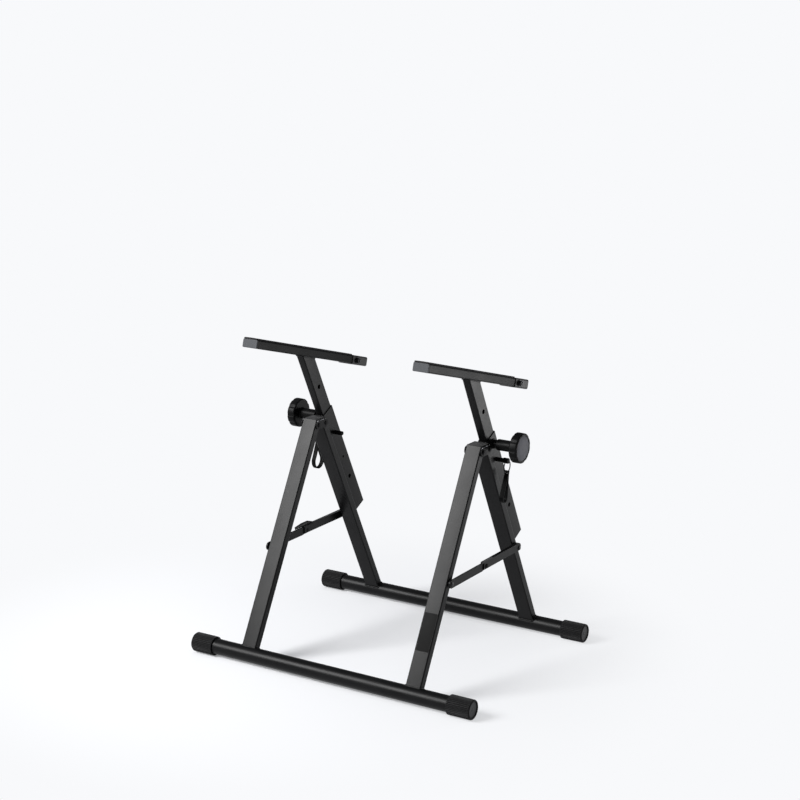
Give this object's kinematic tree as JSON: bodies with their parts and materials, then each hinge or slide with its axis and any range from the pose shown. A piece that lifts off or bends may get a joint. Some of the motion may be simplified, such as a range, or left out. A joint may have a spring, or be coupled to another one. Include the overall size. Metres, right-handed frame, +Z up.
{
  "type": "folding equipment stand",
  "caption": "Folding tilt-back floor stand of black square and round tube: hinged frames, folding side braces, height-adjustable posts with clamp knobs and pins, tilted padded arms.",
  "frame": {"origin": "on the floor, midway between the two base tubes and midway between the left and right side frames", "axes": "+X to the right seen from the front, +Y to the rear, +Z up; the front is the high end of the arms"},
  "size_m": [0.58, 0.457, 0.5939],
  "materials": {
    "powder_coat": "satin black powder coat",
    "black_zinc": "blackened steel",
    "bright_zinc": "bright zinc plating",
    "rubber": "matt moulded rubber",
    "black_plastic": "fine-textured moulded plastic",
    "grey_plastic": "dark grey moulded plastic"
  },
  "bodies": {
    "rear_frame": {"rear_base_tube": "powder_coat", "rear_cap_left": "rubber", "rear_cap_right": "rubber", "rear_leg_left": "powder_coat", "rear_leg_right": "powder_coat", "rear_leg_plugs": "black_plastic", "sleeve_left": "powder_coat", "sleeve_right": "powder_coat", "hinge_plates_left": "powder_coat", "hinge_plates_right": "powder_coat", "hinge_pivots": "black_zinc", "hinge_rivets": "black_zinc", "clamp_nuts": "powder_coat", "brace_rear_rivets": "black_zinc"},
    "front_frame": {"front_base_tube": "powder_coat", "front_cap_left": "rubber", "front_cap_right": "rubber", "front_leg_left": "powder_coat", "front_leg_right": "powder_coat", "front_leg_plugs": "black_plastic"},
    "brace_rear_left": {"brace_rear_link_left": "powder_coat", "brace_mid_rivet_left": "black_zinc"},
    "brace_front_left": {"brace_front_link_left": "powder_coat", "brace_front_rivet_left": "black_zinc"},
    "arm_left": {"post_left": "powder_coat", "post_plug_left": "black_plastic", "arm_left": "powder_coat", "arm_pad_left": "rubber", "arm_plug_left": "grey_plastic", "arm_cover_left": "black_plastic", "arm_bolt_left": "black_zinc"},
    "clamp_stud_left": {"clamp_stud_left": "bright_zinc"},
    "clamp_knob_left": {"clamp_knob_left": "black_plastic"},
    "safety_pin_left": {"safety_pin_left": "black_zinc", "pin_ring_left": "black_zinc", "pin_strap_left": "black_plastic"},
    "brace_rear_right": {"brace_rear_link_right": "powder_coat", "brace_mid_rivet_right": "black_zinc"},
    "brace_front_right": {"brace_front_link_right": "powder_coat", "brace_front_rivet_right": "black_zinc"},
    "arm_right": {"post_right": "powder_coat", "post_plug_right": "black_plastic", "arm_right": "powder_coat", "arm_pad_right": "rubber", "arm_plug_right": "grey_plastic", "arm_cover_right": "black_plastic", "arm_bolt_right": "black_zinc"},
    "clamp_stud_right": {"clamp_stud_right": "bright_zinc"},
    "clamp_knob_right": {"clamp_knob_right": "black_plastic"},
    "safety_pin_right": {"safety_pin_right": "black_zinc", "pin_ring_right": "black_zinc", "pin_strap_right": "black_plastic"}
  },
  "joints": [
    {"name": "fold", "type": "hinge", "parent": "rear_frame", "child": "front_frame", "pos_m": [0, -0.01135, 0.40103], "axis": [1, 0, 0], "range_deg": [0, 53]},
    {"name": "brace_rear_left", "type": "hinge", "parent": "rear_frame", "child": "brace_rear_left", "pos_m": [-0.191, 0.1199, 0.1925], "axis": [1, 0, 0], "range_deg": [-68.5, 0]},
    {"name": "brace_middle_left", "type": "hinge", "parent": "brace_rear_left", "child": "brace_front_left", "pos_m": [-0.191, -0.002, 0.1925], "axis": [1, 0, 0], "range_deg": [0, 165.8]},
    {"name": "height_left", "type": "slide", "parent": "rear_frame", "child": "arm_left", "axis": [0, -0.4617, 0.887], "range_m": [0, 0.1085]},
    {"name": "clamp_travel_left", "type": "slide", "parent": "rear_frame", "child": "clamp_stud_left", "axis": [-1, 0, 0], "range_m": [0, 0.0025]},
    {"name": "clamp_turn_left", "type": "hinge", "parent": "clamp_stud_left", "child": "clamp_knob_left", "pos_m": [-0.22, 0.03675, 0.40475], "axis": [-1, 0, 0], "range_deg": [0, 720]},
    {"name": "pin_pull_left", "type": "slide", "parent": "rear_frame", "child": "safety_pin_left", "axis": [-1, 0, 0], "range_m": [0, 0.045]},
    {"name": "brace_rear_right", "type": "hinge", "parent": "rear_frame", "child": "brace_rear_right", "pos_m": [0.191, 0.1199, 0.1925], "axis": [1, 0, 0], "range_deg": [-68.5, 0]},
    {"name": "brace_middle_right", "type": "hinge", "parent": "brace_rear_right", "child": "brace_front_right", "pos_m": [0.191, -0.002, 0.1925], "axis": [1, 0, 0], "range_deg": [0, 165.8]},
    {"name": "height_right", "type": "slide", "parent": "rear_frame", "child": "arm_right", "axis": [0, -0.4617, 0.887], "range_m": [0, 0.1085]},
    {"name": "clamp_travel_right", "type": "slide", "parent": "rear_frame", "child": "clamp_stud_right", "axis": [1, 0, 0], "range_m": [0, 0.0025]},
    {"name": "clamp_turn_right", "type": "hinge", "parent": "clamp_stud_right", "child": "clamp_knob_right", "pos_m": [0.22, 0.03675, 0.40475], "axis": [1, 0, 0], "range_deg": [0, 720]},
    {"name": "pin_pull_right", "type": "slide", "parent": "rear_frame", "child": "safety_pin_right", "axis": [1, 0, 0], "range_m": [0, 0.045]}
  ],
  "couplings": [
    {"joint": "brace_rear_left", "follows": "fold", "ratio": -1.2892},
    {"joint": "brace_middle_left", "follows": "fold", "ratio": 3.125},
    {"joint": "clamp_travel_left", "follows": "clamp_turn_left", "m_per_rad": 0.00019894},
    {"joint": "brace_rear_right", "follows": "fold", "ratio": -1.2892},
    {"joint": "brace_middle_right", "follows": "fold", "ratio": 3.125},
    {"joint": "clamp_travel_right", "follows": "clamp_turn_right", "m_per_rad": 0.00019894}
  ]
}
